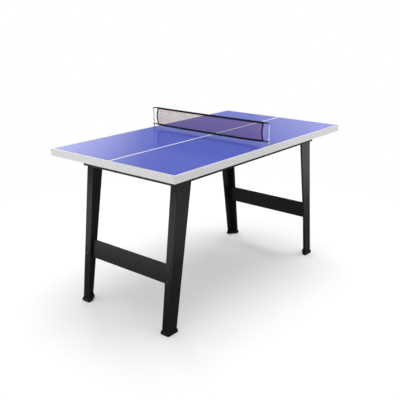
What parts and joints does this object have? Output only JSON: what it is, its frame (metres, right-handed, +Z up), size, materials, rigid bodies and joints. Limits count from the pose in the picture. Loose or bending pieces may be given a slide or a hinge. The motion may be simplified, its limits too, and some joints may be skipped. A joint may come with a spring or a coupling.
{
  "type": "ping pong table",
  "caption": "Small indoor ping pong table: blue board in white edge rails on a steel under-frame, splayed bolted legs with end stretchers, and a net on two rods that lifts out.",
  "frame": {"origin": "on the floor under the middle of the table", "axes": "+X along the table's length, +Y across it along the net, +Z up"},
  "size_m": [1.36, 0.762, 0.872],
  "materials": {
    "playing_blue": "satin blue paint with a white centre line on fibreboard",
    "edge_white": "white satin foil on fibreboard",
    "leg_black": "black satin foil on fibreboard",
    "frame_black": "black powder coat on folded sheet steel",
    "foot_black": "black moulded plastic",
    "bolt_black": "black oxide steel",
    "zinc_steel": "bright zinc plate",
    "post_steel": "polished steel rod",
    "net_maroon": "knotted nylon cord",
    "tape_black": "woven binding tape",
    "tape_maroon": "woven binding tape",
    "tie_black": "braided elastic cord"
  },
  "bodies": {
    "table": {"playing_board": "playing_blue", "edge_rail_front": "edge_white", "edge_rail_back": "edge_white", "edge_rail_left": "edge_white", "edge_rail_right": "edge_white", "frame_rail_front": "frame_black", "frame_rail_back": "frame_black", "frame_rail_left": "frame_black", "frame_rail_right": "frame_black", "frame_cross_rail": "frame_black", "leg_front_left": "leg_black", "leg_front_right": "leg_black", "leg_back_left": "leg_black", "leg_back_right": "leg_black", "foot_cap_front_left": "foot_black", "foot_cap_front_right": "foot_black", "foot_cap_back_left": "foot_black", "foot_cap_back_right": "foot_black", "stretcher_left": "leg_black", "stretcher_right": "leg_black", "rail_screws": "zinc_steel", "frame_screws": "zinc_steel", "frame_rivets": "zinc_steel", "leg_bolts": "bolt_black", "leg_washers": "bolt_black", "leg_nuts": "bolt_black", "stretcher_bolts": "bolt_black", "stretcher_washers": "bolt_black", "stretcher_nuts": "bolt_black"},
    "net_set": {"net_post_front": "post_steel", "net_post_back": "post_steel", "net_mesh": "net_maroon", "net_tape_top": "tape_black", "net_tape_bottom": "tape_black", "net_side_tape_front": "tape_maroon", "net_side_tape_back": "tape_maroon", "net_tie_bottom_front": "tie_black", "net_tie_bottom_back": "tie_black", "net_tie_top_front": "tie_black", "net_tie_top_back": "tie_black"}
  },
  "joints": [
    {"name": "net_lift", "type": "slide", "parent": "table", "child": "net_set", "axis": [0, 0, 1], "range_m": [0, 0.03]}
  ]
}
